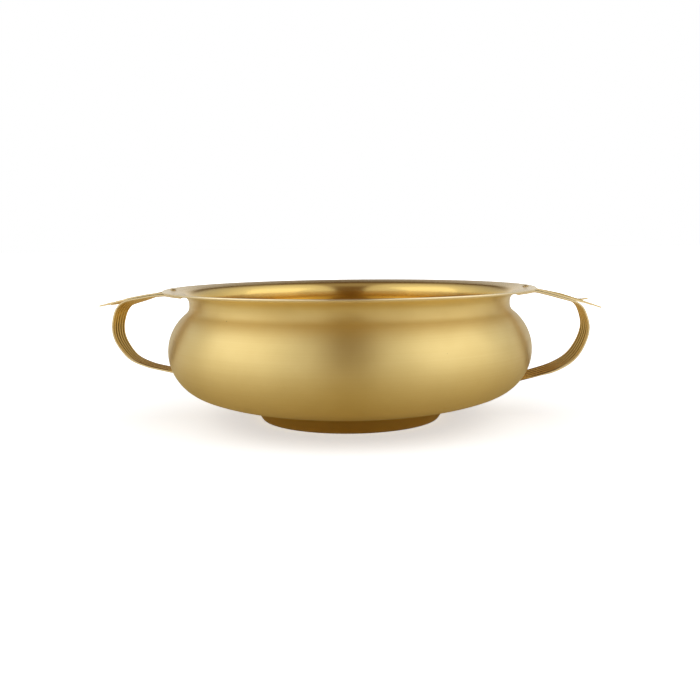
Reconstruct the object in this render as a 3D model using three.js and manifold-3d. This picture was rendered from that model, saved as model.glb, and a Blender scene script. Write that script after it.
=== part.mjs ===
// Brass urli: a wide spun bowl on a flared foot ring, with two palm-leaf handles.
// Millimetres, +Z up. The origin is the centre of the circle that the foot ring stands on.
// Each handle is worked out once on the +X side, and the left one is that shape turned half a turn.

import * as THREE from 'three';
import { mergeVertices } from 'three/addons/utils/BufferGeometryUtils.js';
import Module from 'manifold-3d';

const wasm = await Module();
wasm.setup();

// ---------------------------------------------------------------- driving dimensions

const SEAM_GAP = 0.3; // left between pieces that touch, and all round a shank in its hole
const TURNED_FACETS = 64; // facets round a turned piece

const bowl = {
  rimRadius: 125,
  rimHeight: 88.5,
  wall: 1.4,
  bellyRadius: 122.4,
  bellyHeight: 47.8,
  bellyRounding: 31.5,
  undersideRounding: 98.5,
  undersideSlope: 22.2, // degrees, where the belly turns into the flatter underside
  neckRadius: 107.7,
  neckFillet: 6.8,
  flangeFillet: 6,
  flangeRise: 8, // degrees, the flange climbs outward
};

const foot = {
  standRadius: 60.4,
  flare: 34, // degrees from upright
  wall: 2.4, // measured level
  edgeRounding: 0.4,
};

const handle = {
  width: 24,
  flutes: 5,
  fluteDepth: 0.5,
  sheet: 1,
  rootX: 113, // the inner end of both sheets, under the flange
};

const rivet = {
  x: 120,
  shankRadius: 1.5,
  headRadius: 2.4,
  headHeight: 0.6,
};

// The two handles were bent by hand, so each has its own numbers.
// leafLine and loopLine are (x, z) places on the middle of the sheet, past the rim.
const rightHandle = {
  leafLine: [[132, 84.5], [141, 82.3], [149, 80.2], [157, 77.9], [165, 75.4], [172.3, 73]],
  loopLine: [[154.2, 76.4], [158.1, 71.4], [160.7, 60.8], [158.1, 50.1], [151.5, 40], [141.3, 33.3],
    [128, 28.8], [110, 24.4]],
  creaseTwist: 3, // degrees, where the strap leaves the leaf
  bellyTwist: -3, // degrees, where the strap meets the belly
  liftedFinger: { centreY: 4.8, startX: 157.5, rise: 0.5 },
};

const leftHandle = {
  leafLine: [[132, 85.3], [141, 83.1], [149, 81.1], [157, 79.9], [165, 78.7], [171, 77.6]],
  loopLine: [[153, 77.4], [156.2, 72], [158, 62.3], [155.9, 53], [148.6, 42.7], [138.2, 37.2],
    [126, 34], [111, 30.8]],
  creaseTwist: 7,
  bellyTwist: -3,
  liftedFinger: null,
};

// ---------------------------------------------------------------- materials

const brass = (name, colour, roughness) => new THREE.MeshStandardMaterial({
  name, color: colour, roughness, metalness: 1,
});

const spunBrass = brass('spun_brass', 0xc8a25a, 0.34);
const footBrass = brass('foot_brass', 0xb48a45, 0.36);
const sheetBrass = brass('sheet_brass', 0xd0ac6c, 0.3);
const rivetBrass = brass('rivet_brass', 0xc9a765, 0.28);

// ---------------------------------------------------------------- small tools

const degrees = THREE.MathUtils.degToRad;

const direction = (angle) => new THREE.Vector2(Math.cos(degrees(angle)), Math.sin(degrees(angle)));

const onCircle = (centre, radius, angle) => direction(angle).multiplyScalar(radius).add(centre);

const arc = (centre, radius, from, to, steps) => Array.from(
  { length: steps + 1 },
  (_, i) => onCircle(centre, radius, THREE.MathUtils.lerp(from, to, i / steps)),
);

/** Turn a profile of (radius, height) points about Z. */
const turned = (profile, facets = TURNED_FACETS) => (
  new THREE.LatheGeometry(profile, facets).rotateX(Math.PI / 2)
);

/** Read a closed three.js geometry as a manifold-3d solid. */
const solidOf = (geometry) => {
  const bare = geometry.clone();
  bare.deleteAttribute('normal');
  bare.deleteAttribute('uv');
  const merged = mergeVertices(bare, 1e-4);
  return new wasm.Manifold(new wasm.Mesh({
    numProp: 3,
    vertProperties: new Float32Array(merged.attributes.position.array),
    triVerts: new Uint32Array(merged.index.array),
  }));
};

/** Give a manifold-3d solid back as a three.js geometry. */
const geometryOf = (solid) => {
  const mesh = solid.getMesh();
  const geometry = new THREE.BufferGeometry();
  geometry.setAttribute('position', new THREE.BufferAttribute(new Float32Array(mesh.vertProperties), 3));
  geometry.setIndex(new THREE.BufferAttribute(new Uint32Array(mesh.triVerts), 1));
  const faceted = geometry.toNonIndexed();
  faceted.computeVertexNormals();
  return faceted;
};

// ---------------------------------------------------------------- the bowl's section

// The outline of the wall is a chain of arcs. Both faces of the wall share these centres.
const bellyCentre = new THREE.Vector2(bowl.bellyRadius - bowl.bellyRounding, bowl.bellyHeight);
const undersideStart = bowl.undersideSlope - 90;
const undersideCentre = onCircle(
  bellyCentre, bowl.bellyRounding - bowl.undersideRounding, undersideStart,
);
const neckReach = bowl.neckRadius + bowl.neckFillet - bellyCentre.x;
const neckCentre = new THREE.Vector2(
  bowl.neckRadius + bowl.neckFillet,
  bowl.bellyHeight + Math.sqrt((bowl.bellyRounding + bowl.neckFillet) ** 2 - neckReach ** 2),
);
const shoulderAngle = THREE.MathUtils.radToDeg(neckCentre.clone().sub(bellyCentre).angle());
const lipCentre = new THREE.Vector2(bowl.rimRadius - bowl.wall / 2, bowl.rimHeight - bowl.wall / 2);
const flangeSlope = Math.tan(degrees(bowl.flangeRise));

/** Height of the flange's middle surface at a radius. */
const flangeMiddle = (radius) => lipCentre.y - (lipCentre.x - radius) * flangeSlope;

const flangeCentreX = bowl.neckRadius + bowl.flangeFillet;
const flangeCentre = new THREE.Vector2(
  flangeCentreX,
  flangeMiddle(flangeCentreX) - (bowl.flangeFillet + bowl.wall / 2) / Math.cos(degrees(bowl.flangeRise)),
);

/** Outer face of the wall from the axis to the neck, moved outward by the given distance. */
const bowlOuterFace = (outward) => [
  new THREE.Vector2(0, undersideCentre.y - bowl.undersideRounding - outward),
  ...arc(undersideCentre, bowl.undersideRounding + outward, -90, undersideStart, 4),
  ...arc(bellyCentre, bowl.bellyRounding + outward, undersideStart, shoulderAngle, 11).slice(1),
  ...arc(neckCentre, bowl.neckFillet - outward, shoulderAngle + 180, 180, 3).slice(1),
];

const bowlShell = () => {
  const flangeAngle = 90 + bowl.flangeRise;
  const outerFlange = arc(flangeCentre, bowl.flangeFillet, 180, flangeAngle, 3);
  const lip = arc(lipCentre, bowl.wall / 2, flangeAngle - 180, flangeAngle, 4);
  const innerFlange = arc(flangeCentre, bowl.flangeFillet + bowl.wall, flangeAngle, 180, 3);
  const innerFace = bowlOuterFace(-bowl.wall).reverse();
  const profile = [...bowlOuterFace(0), ...outerFlange, ...lip, ...innerFlange, ...innerFace];
  return solidOf(turned(profile));
};

// ---------------------------------------------------------------- the foot ring

const footRing = () => {
  const lean = Math.tan(degrees(foot.flare));
  const seatRadius = bowl.undersideRounding + SEAM_GAP;
  const bowlUnderside = (radius) => (
    undersideCentre.y - Math.sqrt(seatRadius ** 2 - Math.max(0, radius - undersideCentre.x) ** 2)
  );
  // The flare runs straight up to the underside of the bowl, which is nearly level there.
  const topAt = (baseRadius) => {
    const height = bowlUnderside(baseRadius + bowlUnderside(baseRadius) * lean);
    return new THREE.Vector2(baseRadius + height * lean, height);
  };
  const edge = foot.edgeRounding;
  const innerRadius = foot.standRadius - foot.wall;
  const profile = [
    new THREE.Vector2(innerRadius + edge, 0),
    new THREE.Vector2(foot.standRadius - edge, 0),
    new THREE.Vector2(foot.standRadius + edge * lean, edge),
    topAt(foot.standRadius),
    topAt(innerRadius),
    new THREE.Vector2(innerRadius + edge * lean, edge),
    new THREE.Vector2(innerRadius + edge, 0),
  ];
  return turned(profile);
};

// ---------------------------------------------------------------- the fluted handle sheets

const flutePitch = handle.width / handle.flutes;
const fluteSlope = handle.fluteDepth / (flutePitch / 2);
const sheetRise = handle.sheet / Math.cos(Math.atan(fluteSlope)); // sheet thickness measured upright
const nestStep = sheetRise + SEAM_GAP; // from the leaf down to the strap that lies under it
const rootDrop = bowl.wall / 2 + SEAM_GAP + (handle.fluteDepth + sheetRise) / 2;

/** Section of a fluted sheet: ridges between the flutes on top, ridges along them underneath. */
const flutedSection = () => {
  const corners = Array.from({ length: 2 * handle.flutes + 1 }, (_, i) => {
    const height = (i % 2 === 0 ? 1 : -1) * handle.fluteDepth / 2;
    return new THREE.Vector2(-handle.width / 2 + i * flutePitch / 2, height);
  });
  const face = (rise) => corners.map((corner) => new THREE.Vector2(corner.x, corner.y + rise));
  return new THREE.Shape([...face(-sheetRise / 2), ...face(sheetRise / 2).reverse()]);
};

/**
 * Sweep the fluted section along a line of (x, z) places.
 * twistAt(x) is how far the sheet rises outward for each millimetre across it.
 */
const bentSheet = (line, steps, twistAt) => {
  const curve = new THREE.SplineCurve(line.map(([x, z]) => new THREE.Vector2(x, z)));
  const geometry = new THREE.ExtrudeGeometry(flutedSection(), { depth: 1, steps, bevelEnabled: false });
  const places = geometry.attributes.position;
  for (let i = 0; i < places.count; i += 1) {
    const along = places.getZ(i);
    const across = places.getX(i);
    const middle = curve.getPointAt(along);
    const tangent = curve.getTangentAt(along);
    const lift = places.getY(i) + across * twistAt(along, middle.x);
    places.setXYZ(i, middle.x - tangent.y * lift, across, middle.y + tangent.x * lift);
  }
  return geometry;
};

/** The inner end of either sheet, lying along the underside of the flange. */
const rootLine = (drop) => [handle.rootX, rivet.x, bowl.rimRadius - 0.5].map((x) => (
  [x, flangeMiddle(x) - rootDrop - drop]
));

const CREASE_X = 150;
const LOOP_START = 0.3; // share of the strap's length at the crease
const LOOP_END = 0.8;
const twistPastRim = (x) => THREE.MathUtils.smoothstep(x, bowl.rimRadius, CREASE_X);

/** Stand a turned piece on the flange at the rivet, square to the flange. */
const atRivet = (piece) => (
  piece.rotateY(-degrees(bowl.flangeRise)).translate(rivet.x, 0, flangeMiddle(rivet.x))
);

const rivetHole = () => {
  const radius = rivet.shankRadius + SEAM_GAP;
  return solidOf(atRivet(new THREE.CylinderGeometry(radius, radius, 16, 12).rotateX(Math.PI / 2)));
};

/** The leaf seen from above: five pointed fingers, the middle one longest. */
const leafOutline = (tipX) => {
  const half = handle.width / 2;
  const fingerTips = [156.5, 164, tipX, 164, 156.5];
  const notches = [151, 156, 156, 151];
  const points = [new THREE.Vector2(handle.rootX - 1, -half), new THREE.Vector2(148, -half)];
  fingerTips.forEach((tip, i) => {
    const centre = -half + (i + 0.5) * flutePitch;
    points.push(new THREE.Vector2(tip, centre - 0.35), new THREE.Vector2(tip, centre + 0.35));
    if (i < notches.length) {
      points.push(new THREE.Vector2(notches[i], centre + flutePitch / 2));
    }
  });
  points.push(new THREE.Vector2(148, half), new THREE.Vector2(handle.rootX - 1, half));
  return new THREE.Shape(points);
};

/** Bend one finger of the leaf upward, as a knock has left it. */
const liftFinger = (geometry, finger) => {
  const places = geometry.attributes.position;
  for (let i = 0; i < places.count; i += 1) {
    const inside = Math.abs(places.getY(i) - finger.centreY) < flutePitch / 2 - 0.1;
    const past = Math.max(0, places.getX(i) - finger.startX);
    places.setZ(i, places.getZ(i) + (inside ? past * finger.rise : 0));
  }
  return geometry;
};

const leaf = (side) => {
  const twist = Math.tan(degrees(side.creaseTwist));
  const tipX = side.leafLine.at(-1)[0];
  const past = [tipX + 3, side.leafLine.at(-1)[1] - 1];
  const sheet = bentSheet(
    [...rootLine(0), ...side.leafLine, past], 24, (_, x) => twist * twistPastRim(x),
  );
  const cutter = new THREE.ExtrudeGeometry(leafOutline(tipX), { depth: 60, bevelEnabled: false });
  const fingers = solidOf(sheet).intersect(solidOf(cutter.translate(0, 0, 50)));
  const drilled = geometryOf(fingers.subtract(rivetHole()));
  return side.liftedFinger ? liftFinger(drilled, side.liftedFinger) : drilled;
};

const strap = (side) => {
  const creaseTwist = Math.tan(degrees(side.creaseTwist));
  const bellyTwist = Math.tan(degrees(side.bellyTwist));
  const upperLeg = side.leafLine.slice(0, 3).map(([x, z]) => [x, z - nestStep]);
  // The twist grows along the upper leg, then changes over round the loop.
  const twistAt = (along, x) => {
    const roundLoop = THREE.MathUtils.smoothstep(along, LOOP_START, LOOP_END);
    return along < LOOP_START
      ? creaseTwist * twistPastRim(x)
      : THREE.MathUtils.lerp(creaseTwist, bellyTwist, roundLoop);
  };
  const sheet = bentSheet([...rootLine(nestStep), ...upperLeg, ...side.loopLine], 44, twistAt);
  const belly = solidOf(turned([
    ...bowlOuterFace(SEAM_GAP),
    new THREE.Vector2(0, neckCentre.y),
  ]));
  return geometryOf(solidOf(sheet).subtract(belly).subtract(rivetHole()));
};

const rivetPiece = () => {
  const top = bowl.wall / 2 + SEAM_GAP;
  const bottom = -(rootDrop + nestStep + (handle.fluteDepth + sheetRise) / 2 + SEAM_GAP);
  const domeRadius = (rivet.headRadius ** 2 + rivet.headHeight ** 2) / (2 * rivet.headHeight);
  const spread = THREE.MathUtils.radToDeg(Math.asin(rivet.headRadius / domeRadius));
  const dome = (seat, from, to) => {
    const up = Math.sign(seat);
    const centre = new THREE.Vector2(0, seat + up * (rivet.headHeight - domeRadius));
    return arc(centre, domeRadius, up * from, up * to, 3);
  };
  const profile = [
    ...dome(bottom, 90, 90 - spread),
    new THREE.Vector2(rivet.shankRadius, bottom),
    new THREE.Vector2(rivet.shankRadius, top),
    ...dome(top, 90 - spread, 90),
  ];
  return turned(profile, 12);
};

// ---------------------------------------------------------------- assembly

const part = new THREE.Group();

const addPiece = (name, geometry, material, parent = part) => {
  const mesh = new THREE.Mesh(geometry, material);
  mesh.name = name;
  parent.add(mesh);
};

const addHandle = (name, side, turn) => {
  const group = new THREE.Group();
  group.rotation.z = turn;
  addPiece(`leaf_${name}`, leaf(side), sheetBrass, group);
  addPiece(`strap_${name}`, strap(side), sheetBrass, group);
  addPiece(`rivet_${name}`, atRivet(rivetPiece()), rivetBrass, group);
  part.add(group);
};

const halfTurn = new THREE.Matrix4().makeRotationZ(Math.PI);
const rightHole = rivetHole();
const leftHole = solidOf(geometryOf(rightHole).applyMatrix4(halfTurn));

addPiece('bowl_shell', geometryOf(bowlShell().subtract(rightHole).subtract(leftHole)), spunBrass);
addPiece('foot_ring', footRing(), footBrass);
addHandle('right', rightHandle, 0);
addHandle('left', leftHandle, Math.PI);

export default part;
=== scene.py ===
"""Looks of the brass urli bowl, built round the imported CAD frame.

Lengths of the pieces are millimetres, as in the CAD source, and become metres when a mesh is made.
Those of the materials, the stage and the lights are metres.
Each handle is worked out on the +X side, and the left one is that shape turned half a turn.
"""

import math

import bmesh
import bpy
import numpy as np
from mathutils import Matrix


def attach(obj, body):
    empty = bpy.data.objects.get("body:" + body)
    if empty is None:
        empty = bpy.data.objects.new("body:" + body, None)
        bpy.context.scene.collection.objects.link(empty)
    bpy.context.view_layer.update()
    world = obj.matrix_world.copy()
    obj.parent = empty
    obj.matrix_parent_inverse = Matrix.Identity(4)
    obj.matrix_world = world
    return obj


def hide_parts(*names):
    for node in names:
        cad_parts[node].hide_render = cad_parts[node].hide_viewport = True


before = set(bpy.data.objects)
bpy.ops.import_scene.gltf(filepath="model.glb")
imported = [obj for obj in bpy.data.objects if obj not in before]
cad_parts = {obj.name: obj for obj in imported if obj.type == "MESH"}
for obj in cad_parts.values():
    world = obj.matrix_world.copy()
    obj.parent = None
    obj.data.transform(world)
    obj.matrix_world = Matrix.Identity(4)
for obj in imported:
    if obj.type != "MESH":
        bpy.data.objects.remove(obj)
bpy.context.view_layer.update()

# ---------------------------------------------------------------- dimensions, as in the CAD source

MM = 0.001  # metres

RIM_RADIUS = 125
RIM_HEIGHT = 88.5
WALL = 1.4
BELLY_RADIUS = 122.4
BELLY_HEIGHT = 47.8
BELLY_ROUNDING = 31.5
UNDERSIDE_ROUNDING = 98.5
UNDERSIDE_SLOPE = 22.2
NECK_RADIUS = 107.7
NECK_FILLET = 6.8
FLANGE_FILLET = 6
FLANGE_RISE = 8

FOOT_RADIUS = 60.4
FOOT_FLARE = 34
FOOT_WALL = 2.4
FOOT_ROUNDING = 0.4
SEAM_GAP = 0.3

HANDLE_WIDTH = 24
FLUTES = 5
FLUTE_DEPTH = 0.5
SHEET = 1
ROOT_X = 113
CREASE_X = 150
LOOP_START = 0.3
LOOP_END = 0.8

RIVET_X = 120
SHANK_RADIUS = 1.5
HEAD_RADIUS = 2.4
HEAD_HEIGHT = 0.6

# Rubbed away in use, which keeps the visual model inside the CAD's box.
POLISH = 0.01
POINT_WEAR = 0.15

FINGER_START = 148
FINGER_TIPS = (156.5, 164, None, 164, 156.5)  # None stands for the leaf's own tip
FINGER_NOTCHES = (151, 156, 156, 151)
TIP_HALF_WIDTH = 0.35

# Lines are (x, z) places on the middle of the sheet, past the rim. Twists and turns are degrees,
# and lifted_finger counts the fingers from 0 along +Y.
HANDLES = {
    "right": {
        "leaf_line": [(132, 84.5), (141, 82.3), (149, 80.2), (157, 77.9), (165, 75.4), (172.3, 73)],
        "loop_line": [(154.2, 76.4), (158.1, 71.4), (160.7, 60.8), (158.1, 50.1), (151.5, 40),
                      (141.3, 33.3), (128, 28.8), (110, 24.4)],
        "crease_twist": 3,
        "belly_twist": -3,
        "lifted_finger": 3,
        "turn": 0,
    },
    "left": {
        "leaf_line": [(132, 85.3), (141, 83.1), (149, 81.1), (157, 79.9), (165, 78.7), (171, 77.6)],
        "loop_line": [(153, 77.4), (156.2, 72), (158, 62.3), (155.9, 53), (148.6, 42.7),
                      (138.2, 37.2), (126, 34), (111, 30.8)],
        "crease_twist": 7,
        "belly_twist": -3,
        "lifted_finger": None,
        "turn": 180,
    },
}

# A lifted finger climbs by the slope past this x.
LIFT_START = 157.5
LIFT_SLOPE = 0.5

# Faces are smooth unless they meet at more than this, in degrees.
SHARP_ANGLE = 40

# ---------------------------------------------------------------- small tools


def arc(centre, radius, start, end, steps):
    """Points on a circle, from one angle to another in degrees."""
    turns = np.radians(np.linspace(start, end, steps + 1))
    return np.array(centre) + radius * np.column_stack([np.cos(turns), np.sin(turns)])


def smoothstep(value, low, high):
    """0 below low, 1 above high, and an even S between them."""
    share = np.clip((value - low) / (high - low), 0, 1)
    return share * share * (3 - 2 * share)


def bump(distance, width):
    """1 where distance is 0, falling away smoothly over the width."""
    return np.exp(-(distance / width) ** 2)


def add_piece(name, places, faces, looks, material, node, place=Matrix()):
    """Make one mesh piece that rides the body and replaces a CAD node.

    looks holds its per-vertex grain and any of wear, patina with painted shade, and gloss with
    painted reflection, which are 0 if left out.
    """
    mesh = bpy.data.meshes.new(name)
    mesh.from_pydata((places * MM).tolist(), [], faces)
    grain = mesh.attributes.new("grain", "FLOAT_VECTOR", "POINT")
    grain.data.foreach_set("vector", np.asarray(looks["grain"], float).ravel())
    for mask in ("wear", "patina_and_shade", "gloss_and_painted_reflection"):
        layer = mesh.attributes.new(mask, "FLOAT", "POINT")
        layer.data.foreach_set("value", looks.get(mask, np.zeros(len(places))))
    mesh.transform(place)
    shell = bmesh.new()
    shell.from_mesh(mesh)
    bmesh.ops.recalc_face_normals(shell, faces=shell.faces)
    shell.to_mesh(mesh)
    shell.free()
    mesh.polygons.foreach_set("use_smooth", [True] * len(mesh.polygons))
    mesh.set_sharp_from_angle(angle=math.radians(SHARP_ANGLE))
    mesh.materials.append(material)
    piece = bpy.data.objects.new(name, mesh)
    bpy.context.scene.collection.objects.link(piece)
    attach(piece, "root")
    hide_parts(node)
    return piece


# ---------------------------------------------------------------- turned pieces


BOWL_FACETS = 320
FOOT_FACETS = 256
RIVET_FACETS = 32
ON_AXIS = 1e-6
GRAIN_RADIUS = 40


def turned(profile, facets, closed):
    """Turn a section about Z. Points on the axis become one vertex each.

    Returns the vertices, the faces and, for each vertex, the index of its point in the profile.
    """
    turns = np.arange(facets) * 2 * math.pi / facets
    places, faces, source, rings = [], [], [], []
    for index, (radius, height) in enumerate(profile):
        count = 1 if radius < ON_AXIS else facets
        rings.append([len(places) + k for k in range(count)])
        for turn in turns[:count]:
            places.append((radius * math.cos(turn), radius * math.sin(turn), height))
            source.append(index)
    pairs = list(zip(rings, rings[1:]))
    if closed:
        pairs.append((rings[-1], rings[0]))
    for low, high in pairs:
        for k in range(facets):
            after = (k + 1) % facets
            corners = [low[k % len(low)], low[after % len(low)]]
            corners += [high[after % len(high)], high[k % len(high)]]
            faces.append(tuple(dict.fromkeys(corners)))
    return np.array(places), faces, np.array(source)


def turned_grain(places, source, profile):
    """Grain coordinates: round the piece on a fixed circle, and along its section."""
    steps = np.linalg.norm(np.diff(profile, axis=0), axis=1)
    along = np.concatenate([[0], np.cumsum(steps)])[source]
    turn = np.arctan2(places[:, 1], places[:, 0])
    circle = np.column_stack([np.cos(turn), np.sin(turn)]) * GRAIN_RADIUS
    return np.column_stack([circle, along])


belly_centre = np.array([BELLY_RADIUS - BELLY_ROUNDING, BELLY_HEIGHT])
underside_start = UNDERSIDE_SLOPE - 90
underside_centre = arc(
    belly_centre, BELLY_ROUNDING - UNDERSIDE_ROUNDING, underside_start, underside_start, 1
)[0]
neck_reach = NECK_RADIUS + NECK_FILLET - belly_centre[0]
neck_centre = np.array([
    NECK_RADIUS + NECK_FILLET,
    BELLY_HEIGHT + math.sqrt((BELLY_ROUNDING + NECK_FILLET) ** 2 - neck_reach ** 2),
])
shoulder_angle = math.degrees(math.atan2(neck_centre[1] - belly_centre[1], neck_reach))
lip_centre = np.array([RIM_RADIUS - WALL / 2, RIM_HEIGHT - WALL / 2])


def flange_middle(radius):
    """Height of the flange's middle surface at a radius."""
    return lip_centre[1] - (lip_centre[0] - radius) * math.tan(math.radians(FLANGE_RISE))


flange_centre = np.array([
    NECK_RADIUS + FLANGE_FILLET,
    flange_middle(NECK_RADIUS + FLANGE_FILLET)
    - (FLANGE_FILLET + WALL / 2) / math.cos(math.radians(FLANGE_RISE)),
])


def bowl_outer_face(outward):
    """Outer face of the wall from the axis to the neck, moved outward by the given distance."""
    bottom = underside_centre[1] - UNDERSIDE_ROUNDING - outward
    flat = np.column_stack([np.linspace(0, underside_centre[0], 6)[:-1], np.full(5, bottom)])
    return np.concatenate([
        flat,
        arc(underside_centre, UNDERSIDE_ROUNDING + outward, -90, underside_start, 20),
        arc(belly_centre, BELLY_ROUNDING + outward, underside_start, shoulder_angle, 48)[1:],
        arc(neck_centre, NECK_FILLET - outward, shoulder_angle + 180, 180, 12)[1:],
    ])


def underside_height(radius):
    """Height of the surface that clears the bowl's underside by the seam gap."""
    seat = UNDERSIDE_ROUNDING + SEAM_GAP
    return underside_centre[1] - math.sqrt(seat ** 2 - max(0, radius - underside_centre[0]) ** 2)


def foot_top_at(base_radius):
    """Radius and height where the flare from a radius at the floor meets the bowl's underside."""
    lean = math.tan(math.radians(FOOT_FLARE))
    height = underside_height(base_radius + underside_height(base_radius) * lean)
    return base_radius + height * lean, height


def build_bowl(material):
    """The thin shell: a rounded belly, a short neck and a flange that ends in a round lip."""
    flange_angle = 90 + FLANGE_RISE
    profile = np.concatenate([
        bowl_outer_face(0),
        arc(flange_centre, FLANGE_FILLET, 180, flange_angle, 10),
        arc(lip_centre, WALL / 2 - POLISH, flange_angle - 180, flange_angle, 12),
        arc(flange_centre, FLANGE_FILLET + WALL, flange_angle, 180, 10),
        bowl_outer_face(-WALL)[::-1],
    ])
    places, faces, source = turned(profile, BOWL_FACETS, closed=False)
    radius = np.hypot(places[:, 0], places[:, 1])
    height = places[:, 2]
    outside = source < len(profile) / 2
    seam_radius, seam_height = foot_top_at(FOOT_RADIUS)
    # Painted shade: the outside is darkened in a band round the seam where the bowl meets the foot.
    foot_seam_shade = bump(radius - seam_radius, 2) * (height < seam_height + 4)
    looks = {
        "grain": turned_grain(places, source, profile),
        "wear": bump(np.hypot(radius - lip_centre[0], height - lip_centre[1]), 1.6),
        "patina_and_shade": outside * 1.2 * foot_seam_shade,
        # Inside and on the flange top the brass is smoother, and given a deeper colour as a painted
        # reflection.
        "gloss_and_painted_reflection": 1.0 - outside,
    }
    add_piece("bowl_spun", places, faces, looks, material, "bowl_shell")


def build_foot(material):
    """The flared ring that the bowl stands on, cut to fit its underside."""
    lean = math.tan(math.radians(FOOT_FLARE))
    edge = FOOT_ROUNDING
    inner = FOOT_RADIUS - FOOT_WALL
    top_outer = np.array(foot_top_at(FOOT_RADIUS))
    top_inner = np.array(foot_top_at(inner))
    low_outer = np.array([FOOT_RADIUS + edge * lean, edge])
    low_inner = np.array([inner + edge * lean, edge])
    shares = np.linspace(0, 1, 13)[:, None]
    profile = np.concatenate([
        [(inner + edge, 0), (FOOT_RADIUS - edge, 0), (FOOT_RADIUS - edge * 0.2, edge * 0.3)],
        low_outer + shares * (top_outer - low_outer),
        top_inner + shares * (low_inner - top_inner),
        [(inner + edge * 0.4, edge * 0.3)],
    ])
    places, faces, source = turned(profile, FOOT_FACETS, closed=True)
    height = places[:, 2]
    looks = {
        "grain": turned_grain(places, source, profile),
        "wear": bump(height, 0.9),
        # Painted shade: darker round the top of the ring, where it meets the bowl.
        "patina_and_shade": bump(height - top_outer[1], 1.4),
    }
    add_piece("foot_ring_turned", places, faces, looks, material, "foot_ring")


# ---------------------------------------------------------------- fluted handle sheets

flute_pitch = HANDLE_WIDTH / FLUTES
sheet_rise = SHEET / math.cos(math.atan(FLUTE_DEPTH / (flute_pitch / 2)))
nest_step = sheet_rise + SEAM_GAP
root_drop = WALL / 2 + SEAM_GAP + (FLUTE_DEPTH + sheet_rise) / 2

# The creases pressed into the lower face, between the flutes.
GROOVE_WIDTH = 0.45
GROOVE_DEPTH = 0.32

FLUTE_STEPS = 14
LINE_STEPS = 40
LEAF_ROWS = 40
FINGER_ROWS = 24
STRAP_ROWS = 241
WORN_EDGE_WIDTH = 0.16
WORN_EDGE_ANGLE = 50
UNDERSIDE_GRAIN = 30


def across_places():
    """Places across a sheet, closest together at the edges of each flute."""
    shares = (1 - np.cos(np.linspace(0, math.pi, FLUTE_STEPS + 1))) / 2
    starts = -HANDLE_WIDTH / 2 + flute_pitch * np.arange(FLUTES)
    inner = np.concatenate([start + flute_pitch * shares[:-1] for start in starts])
    return np.append(inner, HANDLE_WIDTH / 2)


def seam_distance(across):
    """Distance to the nearest line between two flutes; the sheet's own edges don't count."""
    lines = -HANDLE_WIDTH / 2 + flute_pitch * np.arange(1, FLUTES)
    return np.abs(across[:, None] - lines).min(axis=1)


def flute_heights(across):
    """Upper and lower face of the fluted sheet: hollow flutes on top, a groove under each ridge."""
    share = (across / flute_pitch + FLUTES / 2) % 1
    middle = FLUTE_DEPTH * (0.5 - 4 * share * (1 - share))
    groove = GROOVE_DEPTH * bump(seam_distance(across), GROOVE_WIDTH)
    return middle + sheet_rise / 2, middle - sheet_rise / 2 + groove


def smooth_line(points):
    """A dense Catmull-Rom line through (x, z) points, as three.js draws a SplineCurve."""
    ends = np.array([points[0], *points, points[-1]], float)
    t = np.linspace(0, 1, LINE_STEPS, endpoint=False)[:, None]
    spans = []
    for before, start, end, after in zip(ends, ends[1:], ends[2:], ends[3:]):
        leave = (end - before) / 2
        arrive = (after - start) / 2
        spans.append(
            start + leave * t + (3 * (end - start) - 2 * leave - arrive) * t ** 2
            + (2 * (start - end) + leave + arrive) * t ** 3
        )
    return np.concatenate([*spans, ends[-1:]])


def along_line(line):
    """Each point's share of the line's length, and that length."""
    lengths = np.concatenate([[0], np.cumsum(np.linalg.norm(np.diff(line, axis=0), axis=1))])
    return lengths / lengths[-1], lengths[-1]


def point_and_normal(line, shares, wanted):
    """Points of the line where its shares reach the wanted ones, and the normals on their left."""
    slopes = np.gradient(line, axis=0)
    slopes /= np.linalg.norm(slopes, axis=1)[:, None]
    point = np.stack([np.interp(wanted, shares, line[:, k]) for k in (0, 1)], axis=-1)
    slope = np.stack([np.interp(wanted, shares, slopes[:, k]) for k in (0, 1)], axis=-1)
    return point, np.stack([-slope[..., 1], slope[..., 0]], axis=-1)


def root_line(drop):
    """The inner end of either sheet, lying along the underside of the flange."""
    return [(x, flange_middle(x) - root_drop - drop) for x in (ROOT_X, RIVET_X, RIM_RADIUS - 0.5)]


def sheet_faces(rows, columns):
    """Faces of a solid sheet whose upper grid comes first and whose lower grid follows."""
    def quads(index):
        return np.stack(
            [index[:-1, :-1], index[1:, :-1], index[1:, 1:], index[:-1, 1:]], axis=-1
        ).reshape(-1, 4)

    upper = np.arange(rows * columns).reshape(rows, columns)
    lower = upper + rows * columns
    borders = [(upper[0], lower[0]), (upper[-1], lower[-1])]
    borders += [(upper[:, 0], lower[:, 0]), (upper[:, -1], lower[:, -1])]
    walls = [quads(np.stack(border)) for border in borders]
    return np.concatenate([quads(upper), quads(lower), *walls]).tolist()


def add_sheet(name, grids, along, across, looks, material, node, turn):
    """Make a handle sheet from its upper and lower grids, each of (rows, columns, xyz)."""
    places = np.concatenate([grid.reshape(-1, 3) for grid in grids])
    rows, columns = grids[0].shape[:2]
    side = np.repeat([0, UNDERSIDE_GRAIN], rows * columns)
    looks["grain"] = np.column_stack([np.tile(across.ravel(), 2), np.tile(along.ravel(), 2), side])
    spin = Matrix.Rotation(math.radians(turn), 4, "Z")
    piece = add_piece(
        name, places, sheet_faces(rows, columns), looks, material, node, spin
    )
    edges = piece.modifiers.new("worn_edges", "BEVEL")
    edges.width = WORN_EDGE_WIDTH * MM
    edges.segments = 2
    edges.limit_method = "ANGLE"
    edges.angle_limit = math.radians(WORN_EDGE_ANGLE)


def raised(point, normal, across, lift):
    """Places of a sheet: the line's points, moved across and along their normals."""
    return np.stack([
        point[..., 0] + normal[..., 0] * lift,
        np.broadcast_to(across, lift.shape),
        point[..., 1] + normal[..., 1] * lift,
    ], axis=-1)


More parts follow.
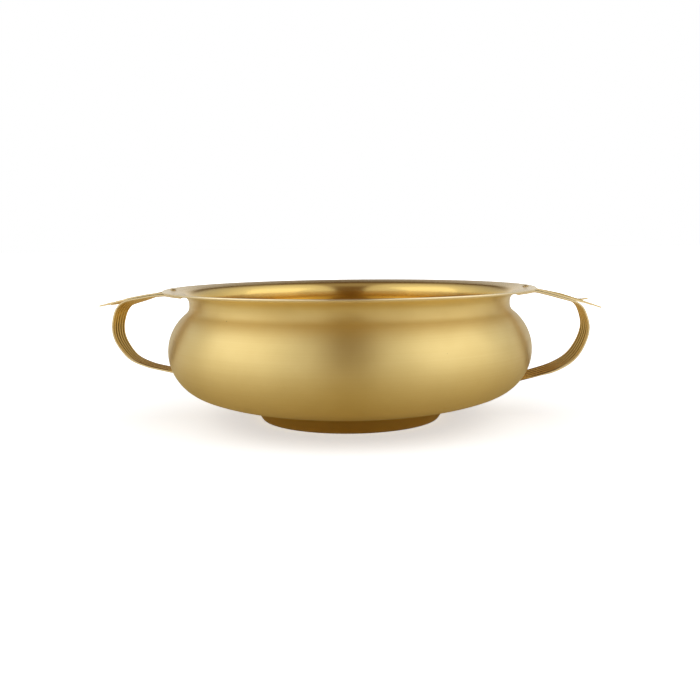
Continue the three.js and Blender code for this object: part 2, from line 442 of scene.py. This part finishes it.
def finger_ends(across, leaf_tip):
    """How far out the leaf reaches at each place across: five points, the middle one longest."""
    corner_y, corner_x = [-HANDLE_WIDTH / 2], [FINGER_START]
    for index, tip in enumerate(FINGER_TIPS):
        centre = -HANDLE_WIDTH / 2 + (index + 0.5) * flute_pitch
        corner_y += [centre - TIP_HALF_WIDTH, centre + TIP_HALF_WIDTH]
        corner_x += [tip or leaf_tip] * 2
        if index < len(FINGER_NOTCHES):
            corner_y.append(centre + flute_pitch / 2)
            corner_x.append(FINGER_NOTCHES[index])
    corner_y.append(HANDLE_WIDTH / 2)
    corner_x.append(FINGER_START)
    return np.interp(across, corner_y, corner_x)


def build_leaf(side, shape, material):
    """The upper sheet of a handle: straight out past the rim, ending in five pointed fingers."""
    across = across_places()
    line_end = shape["leaf_line"][-1]
    ends = finger_ends(across, line_end[0] - POINT_WEAR)
    past = (line_end[0] + 3, line_end[1] - 1)
    line = smooth_line([*root_line(0), *shape["leaf_line"], past])
    straight = np.linspace(ROOT_X, FINGER_START, LEAF_ROWS)
    fan = np.linspace(0, 1, FINGER_ROWS + 1)[1:, None]
    x = np.concatenate([
        np.repeat(straight[:, None], len(across), axis=1),
        FINGER_START + fan * (ends - FINGER_START),
    ])
    point, normal = point_and_normal(line, line[:, 0], x)
    twist = math.tan(math.radians(shape["crease_twist"])) * smoothstep(x, RIM_RADIUS, CREASE_X)
    grids = []
    for height in flute_heights(across):
        grid = raised(point, normal, across, height + across * twist)
        if shape["lifted_finger"] is not None:
            middle = -HANDLE_WIDTH / 2 + (shape["lifted_finger"] + 0.5) * flute_pitch
            inside = np.abs(across - middle) < flute_pitch / 2 - 0.1
            grid[..., 2] += inside * LIFT_SLOPE * np.maximum(0, x - LIFT_START)
        grids.append(grid)
    to_edge = np.minimum(ends - x, HANDLE_WIDTH / 2 - np.abs(across))
    # Painted shade: both faces are darker along the lines between the flutes, the lower face most.
    groove = bump(seam_distance(across), 0.8) * np.ones_like(x)
    looks = {
        "wear": np.tile(bump(to_edge, 0.7).ravel(), 2),
        "patina_and_shade": np.concatenate([0.2 * groove.ravel(), groove.ravel()]),
    }
    add_sheet(
        f"leaf_{side}_pressed", grids, x, np.broadcast_to(across, x.shape), looks, material,
        f"leaf_{side}", shape["turn"],
    )


def build_strap(side, shape, material):
    """The lower sheet of a handle: under the leaf, then bent down and back to the belly."""
    across = across_places()
    upper_leg = [(x, z - nest_step) for x, z in shape["leaf_line"][:3]]
    line = smooth_line([*root_line(nest_step), *upper_leg, *shape["loop_line"]])
    shares, length = along_line(line)
    crease = math.tan(math.radians(shape["crease_twist"]))
    belly = math.tan(math.radians(shape["belly_twist"]))

    def sheet_places(along, height):
        point, normal = point_and_normal(line, shares, along)
        upper = crease * smoothstep(point[..., 0], RIM_RADIUS, CREASE_X)
        swing = smoothstep(along, LOOP_START, LOOP_END)
        twist = np.where(along < LOOP_START, upper, crease + (belly - crease) * swing)
        return raised(point, normal, across, height + across * twist)

    def reach(height):
        """Share of the line at which each place across comes to the belly."""
        tries = np.linspace(0.8, 1, 200)[:, None] * np.ones_like(across)
        places = sheet_places(tries, height)
        radius = np.hypot(places[..., 0], places[..., 1])
        clear = np.hypot(radius - belly_centre[0], places[..., 2] - belly_centre[1])
        touching = clear < BELLY_ROUNDING + 0.05
        return tries[:, 0][touching.argmax(axis=0)]

    grids = []
    for height in flute_heights(across):
        end = reach(height)
        rows = np.linspace(0, 1, STRAP_ROWS)[:, None]
        settle = smoothstep(rows, 0.7, 1)
        along = rows * (end.mean() + (end - end.mean()) * settle)
        grids.append(sheet_places(along, height))
    to_edge = (HANDLE_WIDTH / 2 - np.abs(across)) * np.ones_like(along)
    groove = bump(seam_distance(across), 1.1) * np.ones_like(along)

    # Painted shade: both faces are dark at the belly and darker along the creases, and the lower
    # face is darker round the bend, its creases darkest there.
    belly_shade = smoothstep(along, along.max() - 3.5 / length, along.max())
    bend = smoothstep(along, 0.36, 0.5) * (1 - smoothstep(along, 0.62, 0.78))
    loop_shade = 0.25 * bend + groove * (0.12 + 0.88 * bend)
    looks = {
        "wear": np.tile(bump(to_edge, 0.9).ravel(), 2),
        "patina_and_shade": np.concatenate([(0.2 * groove + belly_shade).ravel(), (loop_shade + belly_shade).ravel()]),
    }
    add_sheet(
        f"strap_{side}_bent", grids, along * length, np.broadcast_to(across, along.shape), looks,
        material, f"strap_{side}", shape["turn"],
    )


def build_rivet(side, shape, material):
    """Low domed heads above the flange and under the strap, joined by the shank."""
    top = WALL / 2 + SEAM_GAP
    bottom = -(root_drop + nest_step + (FLUTE_DEPTH + sheet_rise) / 2 + SEAM_GAP)
    head_height = HEAD_HEIGHT - POLISH
    dome_radius = (HEAD_RADIUS ** 2 + head_height ** 2) / (2 * head_height)
    spread = math.degrees(math.asin(HEAD_RADIUS / dome_radius))
    profile = np.concatenate([
        arc((0, bottom + dome_radius - head_height), dome_radius, -90, spread - 90, 8),
        [(SHANK_RADIUS, bottom), (SHANK_RADIUS, top)],
        arc((0, top - dome_radius + head_height), dome_radius, 90 - spread, 90, 8),
    ])
    profile[[0, -1], 0] = 0
    places, faces, source = turned(profile, RIVET_FACETS, closed=False)
    radius = np.hypot(places[:, 0], places[:, 1])
    looks = {
        "grain": turned_grain(places, source, profile),
        "wear": bump(radius, 1.4),
        "patina_and_shade": 0.4 * smoothstep(radius, HEAD_RADIUS - 0.4, HEAD_RADIUS),
    }
    spin = Matrix.Rotation(math.radians(shape["turn"]), 4, "Z")
    seat = Matrix.Translation((RIVET_X * MM, 0, flange_middle(RIVET_X) * MM))
    tilt = Matrix.Rotation(-math.radians(FLANGE_RISE), 4, "Y")
    add_piece(
        f"rivet_{side}_set", places, faces, looks, material,
        f"rivet_{side}", spin @ seat @ tilt,
    )


# ---------------------------------------------------------------- materials

# A Mix node's colour sockets share their names with its other sockets, so they go by number.
MIX_SHARE, MIX_FIRST, MIX_SECOND, MIX_RESULT = 0, 6, 7, 2

BRASS = (0.88, 0.695, 0.3)
DULL_BRASS = (0.77, 0.57, 0.2)
BRIGHT_BRASS = (0.92, 0.78, 0.5)
# Painted reflection: a deeper brass for the inside of the bowl, standing in for brass mirrored in
# brass.
PAINTED_REFLECTION_BRASS = (0.79, 0.56, 0.18)

# The patina and painted shade are the dull brass, darkened to this share.
PATINA_SHADE = 0.22
PIT_COLOUR = (0.09, 0.05, 0.02)
PIT_DEPTH = 0.0002


def node_adder(tree):
    """A helper that adds one node and feeds its inputs with numbers, colours or sockets."""
    def add(kind, inputs=(), **settings):
        node = tree.nodes.new(kind)
        for name, value in settings.items():
            setattr(node, name, value)
        for key, value in dict(inputs).items():
            if isinstance(value, bpy.types.NodeSocket):
                tree.links.new(value, node.inputs[key])
            else:
                node.inputs[key].default_value = value
        return node

    return add


def mixed(add, share, first, second):
    """The first colour, turning into the second as the share goes from 0 to 1."""
    inputs = {MIX_SHARE: share, MIX_FIRST: first, MIX_SECOND: second}
    return add("ShaderNodeMix", inputs, data_type="RGBA").outputs[MIX_RESULT]


def ranged(add, value, low, high, at_low=0, at_high=1, kind="LINEAR"):
    """A value stretched so that low gives at_low and high gives at_high, and held beyond them."""
    limits = {"From Min": low, "From Max": high, "To Min": at_low, "To Max": at_high}
    node = add("ShaderNodeMapRange", {"Value": value, **limits}, interpolation_type=kind)
    return node.outputs["Result"]


def maths(add, operation, *values, clamp=False):
    """The result of one Math node."""
    inputs = dict(enumerate(values))
    return add("ShaderNodeMath", inputs, operation=operation, use_clamp=clamp).outputs[0]


def noise(add, place, scale, detail, roughness=0.5):
    """Smooth noise, between 0 and 1."""
    inputs = {"Vector": place, "Scale": scale, "Detail": detail, "Roughness": roughness}
    return add("ShaderNodeTexNoise", inputs).outputs["Fac"]


def opaque(colour):
    return (*colour, 1)


def worn_brass(
    name, colour, dull, bright, roughness, grain_scale, groove, anisotropy=0,
    edge_tint=(1, 1, 1), coat=0.15,
):
    """Satin brass with tool marks along the grain.

    dull is the colour in the clouds and marks, much darker where patina and painted shade are
    marked, and bright is that of rubbed edges. Where the mesh says gloss, the brass is smoother,
    and deeper in colour as a painted reflection.
    grain_scale squeezes the grain coordinates; groove is the depth of the marks in metres.
    """
    material = bpy.data.materials.new(name)
    material.use_nodes = True
    tree = material.node_tree
    add = node_adder(tree)
    shader = tree.nodes["Principled BSDF"]
    grain = add("ShaderNodeAttribute", attribute_name="grain").outputs["Vector"]
    wear, patina_and_shade, gloss_and_painted_reflection = (
        add("ShaderNodeAttribute", attribute_name=mask).outputs["Fac"]
        for mask in ("wear", "patina_and_shade", "gloss_and_painted_reflection")
    )
    place = add("ShaderNodeTexCoord").outputs["Object"]

    marks_at = add("ShaderNodeMapping", {"Vector": grain, "Scale": grain_scale}).outputs[0]
    marks = noise(add, marks_at, scale=1, detail=5, roughness=0.7)
    clouds = noise(add, place, scale=28, detail=4, roughness=0.55)
    cells = {"Vector": place, "Scale": 160, "Randomness": 1}
    to_cell = add("ShaderNodeTexVoronoi", cells).outputs["Distance"]
    pit_shape = ranged(add, to_cell, 0.02, 0.07, 1, 0)
    pit_here = maths(add, "GREATER_THAN", noise(add, place, scale=60, detail=1), 0.66)
    pit = maths(add, "MULTIPLY", pit_shape, pit_here)

    shade_and_patina_colour = [channel * PATINA_SHADE for channel in dull]
    shade_and_patina_share = maths(add, "MULTIPLY", patina_and_shade, 0.9, clamp=True)
    # Painted reflection: where the mask says gloss, a deeper brass.
    base = mixed(add, gloss_and_painted_reflection, opaque(colour), opaque(PAINTED_REFLECTION_BRASS))
    base = mixed(add, ranged(add, clouds, 0.35, 0.7, 0, 0.3), base, opaque(dull))
    base = mixed(add, ranged(add, marks, 0.3, 0.7, 0, 0.16), base, opaque(dull))
    base = mixed(add, wear, base, opaque(bright))
    # Painted shade, with patina: the dull brass, darkened, where the mask says.
    base = mixed(add, shade_and_patina_share, base, opaque(shade_and_patina_colour))
    base = mixed(add, pit, base, opaque(PIT_COLOUR))
    tree.links.new(base, shader.inputs["Base Color"])

    rough = ranged(add, marks, 0.25, 0.75, roughness - 0.1, roughness)
    for mask, change in ((clouds, 0.12), (patina_and_shade, 0.2), (gloss_and_painted_reflection, -0.24)):
        rough = maths(add, "MULTIPLY_ADD", mask, change, rough)
    tree.links.new(rough, shader.inputs["Roughness"])

    lines = add("ShaderNodeBump", {"Height": marks, "Distance": groove, "Strength": 1}).outputs[0]
    waves = add("ShaderNodeBump", {
        "Height": clouds, "Distance": groove * 6, "Strength": 0.6, "Normal": lines,
    }).outputs[0]
    holes = add("ShaderNodeBump", {
        "Height": pit, "Distance": PIT_DEPTH, "Strength": 1, "Normal": waves,
    }, invert=True).outputs[0]
    tree.links.new(holes, shader.inputs["Normal"])

    shader.inputs["Metallic"].default_value = 1
    shader.inputs["Anisotropic"].default_value = anisotropy
    shader.inputs["Anisotropic Rotation"].default_value = 0.25
    shader.inputs["Specular Tint"].default_value = opaque(edge_tint)
    shader.inputs["Coat Weight"].default_value = coat
    shader.inputs["Coat Roughness"].default_value = 0.25
    return material


def spun(material):
    """Turn the sheen round the axis, as lathe marks do."""
    tree = material.node_tree
    tangent = node_adder(tree)("ShaderNodeTangent", direction_type="RADIAL", axis="Z")
    tree.links.new(tangent.outputs[0], tree.nodes["Principled BSDF"].inputs["Tangent"])
    return material


def bowl_material():
    return spun(worn_brass(
        "satin_spun_brass", BRASS, DULL_BRASS, BRIGHT_BRASS,
        roughness=0.46, grain_scale=(0.012, 0.012, 2.2), groove=0.00001, anisotropy=0.88,
    ))


def foot_material():
    # Painted light: this brass is lighter and more saturated than the bowl's, to make up for the
    # shade the foot stands in.
    return spun(worn_brass(
        "spun_brass_lightened_for_shade", (0.97, 0.71, 0.23), (0.88, 0.61, 0.17), (0.94, 0.76, 0.4),
        roughness=0.36, grain_scale=(0.02, 0.02, 3), groove=0.000012, anisotropy=0.6,
    ))


def sheet_material():
    return worn_brass(
        "pressed_sheet_brass", (0.88, 0.64, 0.25), (0.66, 0.41, 0.12), (0.92, 0.76, 0.45),
        roughness=0.2, grain_scale=(3.2, 0.05, 1), groove=0.000012,
        edge_tint=(1, 0.82, 0.5), coat=0.1,
    )


def rivet_material():
    return worn_brass(
        "hammered_brass", (0.86, 0.66, 0.31), (0.7, 0.5, 0.2), (0.93, 0.8, 0.52),
        roughness=0.36, grain_scale=(0.05, 0.05, 0.8), groove=0.00002,
    )


# ---------------------------------------------------------------- stage, light and camera

FLOOR_RADIUS = 12
FLOOR_IN_PICTURE = (0.87, 0.9, 0.94, 1)
# Painted shadow: the floor as the brass sees it is darker near the bowl, lighter far off.
SHADED_NEAR_FLOOR_IN_BRASS = (0.58, 0.47, 0.22, 1)
FAR_FLOOR_IN_BRASS = (1, 0.96, 0.85, 1)

WHITE = (1, 1, 1, 1)
ROOM_SHADE = (0.19, 0.12, 0.065, 1)
BACKDROP = (0.74, 0.7, 0.62, 1)

# Brightness of the tent by how far sideways one looks: -1 is left, 0 ahead or behind, 1 right.
TENT = ((-0.62, 1), (-0.23, 0.66), (-0.17, 0), (0.17, 0), (0.23, 0.8), (0.5, 1))

SOFTBOX_AZIMUTHS = {"left": -72, "right": 68}
SOFTBOX_ELEVATION = 28
SOFTBOX_DISTANCE = 1.3
SOFTBOX_SIZE = 1.2
SOFTBOX_POWER = 2
AIM_HEIGHT = 0.05

CAMERA_PLACE = (0, -0.6, 0.1195)
CAMERA_TILT = -7.04
CAMERA_ROLL = -0.62
CAMERA_LENS = 45.27  # millimetres, as is the sensor
CAMERA_SENSOR = 36


def floor_material():
    """A floor that looks white to the viewer, and like a warm table top in the brass, darker near
    the bowl as a painted shadow.
    """
    material = bpy.data.materials.new("pale_floor")
    material.use_nodes = True
    tree = material.node_tree
    tree.nodes.clear()
    add = node_adder(tree)
    seen = add("ShaderNodeLightPath").outputs["Is Camera Ray"]
    place = add("ShaderNodeTexCoord").outputs["Object"]
    distance = add("ShaderNodeVectorMath", {0: place}, operation="LENGTH").outputs["Value"]
    lift = ranged(add, distance, 0.15, 0.9, 0.52, 1, kind="SMOOTHSTEP")
    far = ranged(add, distance, 0.14, 0.42, kind="SMOOTHSTEP")
    # Painted shadow: in the brass, the floor is darker near the bowl.
    table = mixed(add, far, SHADED_NEAR_FLOOR_IN_BRASS, FAR_FLOOR_IN_BRASS)
    colour = mixed(add, seen, table, FLOOR_IN_PICTURE)
    matt = add("ShaderNodeBsdfDiffuse", {"Color": colour}).outputs[0]
    glow = maths(add, "MULTIPLY", lift, seen)
    light = add("ShaderNodeEmission", {"Strength": glow}).outputs[0]
    both = add("ShaderNodeAddShader", {0: matt, 1: light}).outputs[0]
    add("ShaderNodeOutputMaterial", {"Surface": both})
    return material


def build_floor():
    """The round floor that the bowl stands on, far wider than the view."""
    mesh = bpy.data.meshes.new("floor")
    outline = bmesh.new()
    bmesh.ops.create_circle(outline, cap_ends=True, radius=FLOOR_RADIUS, segments=96)
    outline.to_mesh(mesh)
    outline.free()
    mesh.materials.append(floor_material())
    floor = bpy.data.objects.new("floor", mesh)
    bpy.context.scene.collection.objects.link(floor)


def tent_walls(add, sideways):
    """The tent's colours from left to right, between the room's shade and white."""
    across = ranged(add, sideways, -1, 1)
    ramp = add("ShaderNodeValToRGB", {0: across})
    stops = ramp.color_ramp.elements
    stops.remove(stops[1])
    for index, (direction, brightness) in enumerate(TENT):
        share = (direction + 1) / 2
        stop = stops.new(share) if index else stops[0]
        stop.position = share
        stop.color = [dark + (light - dark) * brightness for dark, light in zip(ROOM_SHADE, WHITE)]
    return ramp.outputs["Color"]


def build_world():
    """A white tent for the brass to mirror, which the viewer sees as plain white.

    It has bright walls left and right and a dim warm gap between them. It is brighter overhead and
    dimmer on the far side, where a backdrop stands low behind the bowl.
    """
    world = bpy.data.worlds.new("studio")
    bpy.context.scene.world = world
    world.use_nodes = True
    tree = world.node_tree
    tree.nodes.clear()
    add = node_adder(tree)
    direction = add("ShaderNodeTexCoord").outputs["Generated"]
    sideways, ahead, upward = add("ShaderNodeSeparateXYZ", {0: direction}).outputs
    above = ranged(add, upward, 0.8, 0.97, 0, 0.25, kind="SMOOTHSTEP")
    walls = mixed(add, above, tent_walls(add, sideways), WHITE)
    falloff = ranged(add, ahead, 0, 0.8, 1, 0.6, kind="SMOOTHSTEP")
    dimmed = add("ShaderNodeVectorMath", {0: walls, "Scale": falloff}, operation="SCALE").outputs[0]
    low = ranged(add, upward, 0.15, 0.42, 1, 0, kind="SMOOTHSTEP")
    back = ranged(add, ahead, 0.3, 0.8, kind="SMOOTHSTEP")
    room = mixed(add, maths(add, "MULTIPLY", low, back), dimmed, BACKDROP)
    seen = add("ShaderNodeLightPath").outputs["Is Camera Ray"]
    sky = add("ShaderNodeBackground", {"Color": mixed(add, seen, room, WHITE)}).outputs[0]
    add("ShaderNodeOutputWorld", {"Surface": sky})


def add_softbox(side, azimuth):
    """A square area light, aimed at the bowl. Azimuth 0 is behind the camera, + to its right."""
    light = bpy.data.lights.new(f"softbox_{side}", "AREA")
    light.shape = "SQUARE"
    light.size = SOFTBOX_SIZE
    light.energy = SOFTBOX_POWER
    lamp = bpy.data.objects.new(f"softbox_{side}", light)
    bpy.context.scene.collection.objects.link(lamp)
    aim = Matrix.Translation((0, 0, AIM_HEIGHT))
    spin = Matrix.Rotation(math.radians(azimuth), 4, "Z")
    tip = Matrix.Rotation(math.radians(90 - SOFTBOX_ELEVATION), 4, "X")
    lamp.matrix_world = aim @ spin @ tip @ Matrix.Translation((0, 0, SOFTBOX_DISTANCE))
    lamp.visible_camera = False


def build_camera():
    """The photo's viewpoint: 600 mm in front, a little above the rim, looking slightly down."""
    camera = bpy.data.cameras.new("camera")
    camera.sensor_width = CAMERA_SENSOR
    camera.lens = CAMERA_LENS
    viewer = bpy.data.objects.new("camera", camera)
    bpy.context.scene.collection.objects.link(viewer)
    tilt = Matrix.Rotation(math.radians(90 + CAMERA_TILT), 4, "X")
    roll = Matrix.Rotation(math.radians(CAMERA_ROLL), 4, "Z")
    viewer.matrix_world = Matrix.Translation(CAMERA_PLACE) @ tilt @ roll
    bpy.context.scene.camera = viewer


# ---------------------------------------------------------------- assembly

build_camera()
build_floor()
build_world()
for side, azimuth in SOFTBOX_AZIMUTHS.items():
    add_softbox(side, azimuth)
bpy.context.scene.view_settings.view_transform = "Standard"

build_bowl(bowl_material())
build_foot(foot_material())
sheet_brass = sheet_material()
rivet_brass = rivet_material()
for side, shape in HANDLES.items():
    build_leaf(side, shape, sheet_brass)
    build_strap(side, shape, sheet_brass)
    build_rivet(side, shape, rivet_brass)
